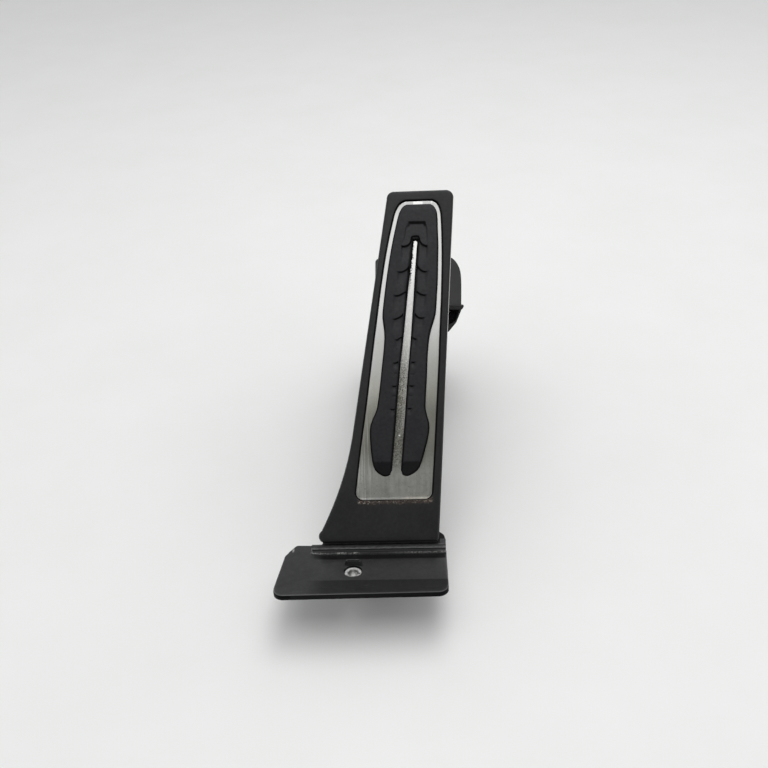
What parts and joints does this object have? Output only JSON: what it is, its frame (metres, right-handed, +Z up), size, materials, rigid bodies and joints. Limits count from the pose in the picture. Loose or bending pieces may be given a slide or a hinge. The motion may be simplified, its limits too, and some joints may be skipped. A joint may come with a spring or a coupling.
{
  "type": "accelerator pedal",
  "caption": "Floor-hinged car accelerator pedal: skewed pad with steel inlay and rubber tread, film hinge on a bolted foot plate, sprung lever and sensor housing with a plug socket.",
  "frame": {"origin": "middle of the flat mounting face under the sensor housing", "axes": "+X to the driver's right along the pedal hinge, +Y away from the driver, +Z up off the mounting face"},
  "size_m": [0.1287, 0.3056, 0.1906],
  "materials": {
    "foot_plastic": "polished black polypropylene, fine scratches",
    "film_plastic": "flexed black polypropylene",
    "housing_plastic": "black glass-filled nylon, spark-eroded grain",
    "cover_plastic": "black glass-filled nylon, spark-eroded grain",
    "carrier_plastic": "black polypropylene, satin",
    "pad_plastic": "black plastic with a fine moulded grain",
    "lever_plastic": "black nylon, satin",
    "inlay_steel": "lengthwise brushed stainless sheet, worn and dirty at the lower edge",
    "tread_rubber": "bluish black rubber, satin",
    "zinc_steel": "zinc plated",
    "pin_steel": "ground steel",
    "spring_steel": "oiled spring wire",
    "bush_bronze": "sintered bronze",
    "terminal_metal": "tin plated",
    "board_laminate": "green solder mask",
    "chip_plastic": "moulded package",
    "magnet_ferrite": "ground ferrite",
    "cup_plastic": "natural acetal",
    "seal_rubber": "silicone cord",
    "buffer_rubber": "moulded buffer"
  },
  "bodies": {
    "base": {"foot_plate": "foot_plastic", "foot_sleeve": "zinc_steel", "foot_screws": "zinc_steel", "hinge_film": "film_plastic", "base_housing": "housing_plastic", "cover_seal": "seal_rubber", "lug_sleeve": "zinc_steel", "sensor_cover": "cover_plastic", "connector_pins": "terminal_metal", "cover_screws": "zinc_steel", "circuit_board": "board_laminate", "sensor_chips": "chip_plastic", "lever_pin": "pin_steel", "return_spring_outer": "spring_steel", "return_spring_inner": "spring_steel", "spring_cup": "cup_plastic", "friction_shoe": "cup_plastic", "idle_stop": "buffer_rubber", "full_stops": "buffer_rubber"},
    "pedal": {"pedal_carrier": "carrier_plastic", "lever_guide": "lever_plastic", "pad_frame": "pad_plastic", "steel_inlay": "inlay_steel", "rubber_tread": "tread_rubber", "pad_screws": "zinc_steel"},
    "lever": {"drive_lever": "lever_plastic", "lever_bushes": "bush_bronze", "sensor_magnet": "magnet_ferrite"}
  },
  "joints": [
    {"name": "pedal_hinge", "type": "hinge", "parent": "base", "child": "pedal", "pos_m": [-0.00675, -0.16564, 0.02548], "axis": [-1, 0, 0], "range_deg": [0, 16], "stiffness_Nm_per_rad": 9.3, "springref_deg": -14.78, "deforming": ["hinge_film"]},
    {"name": "lever_pivot", "type": "hinge", "parent": "base", "child": "lever", "pos_m": [0.00175, -0.05, 0.044], "axis": [-1, 0, 0], "range_deg": [0, 34], "deforming": ["return_spring_outer", "return_spring_inner"]}
  ],
  "couplings": [
    {"joint": "lever_pivot", "follows": "pedal_hinge", "ratio": 2.113}
  ]
}
